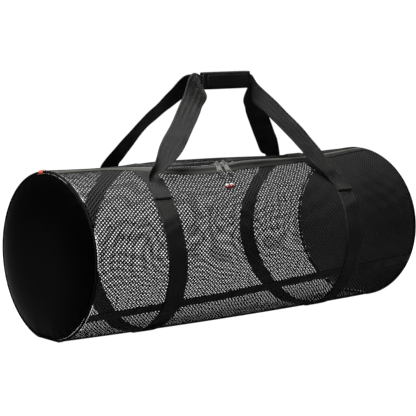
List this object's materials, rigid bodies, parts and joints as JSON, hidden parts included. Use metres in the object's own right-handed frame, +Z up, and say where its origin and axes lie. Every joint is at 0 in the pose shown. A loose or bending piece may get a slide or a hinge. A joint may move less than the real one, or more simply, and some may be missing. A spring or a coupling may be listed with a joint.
{
  "type": "mesh dive gear bag",
  "caption": "Round mesh duffel for wet diving gear, with black domed ends, webbing handles in a grip wrap, a long zip on top with metal pulls, and webbing strips round the body.",
  "frame": {"origin": "centre of the bag's box in plan, at the level it rests on", "axes": "+X along the bag from its left end to its right end, +Y to the back, +Z up through the handles"},
  "size_m": [0.9494, 0.3593, 0.5235],
  "materials": {
    "net": "satin",
    "webbing": "satin",
    "end_cloth": "satin",
    "binding": "matte",
    "facing_cloth": "satin",
    "zip_coil": "satin",
    "grip_cloth": "matte",
    "pull_metal": "satin",
    "cord": "matte",
    "tip": "satin",
    "red_tab": "matte"
  },
  "bodies": {
    "root": {"mesh_body": "net", "lower_strip": "webbing", "zip_chain": "zip_coil", "zip_tab": "red_tab", "zip_facing_front": "facing_cloth", "zip_facing_rear": "facing_cloth", "handle_front": "webbing", "handle_rear": "webbing", "grip_wrap": "grip_cloth", "end_panel_left": "end_cloth", "end_panel_right": "end_cloth", "end_binding_left": "binding", "end_binding_right": "binding", "girth_strip_left": "webbing", "girth_strip_right": "webbing", "zip_slider_left": "pull_metal", "zip_slider_right": "pull_metal", "zip_pull_left": "pull_metal", "zip_pull_right": "pull_metal", "pull_cord_left": "cord", "pull_cord_right": "cord", "pull_tip_left": "tip", "pull_tip_right": "tip"}
  },
  "joints": []
}
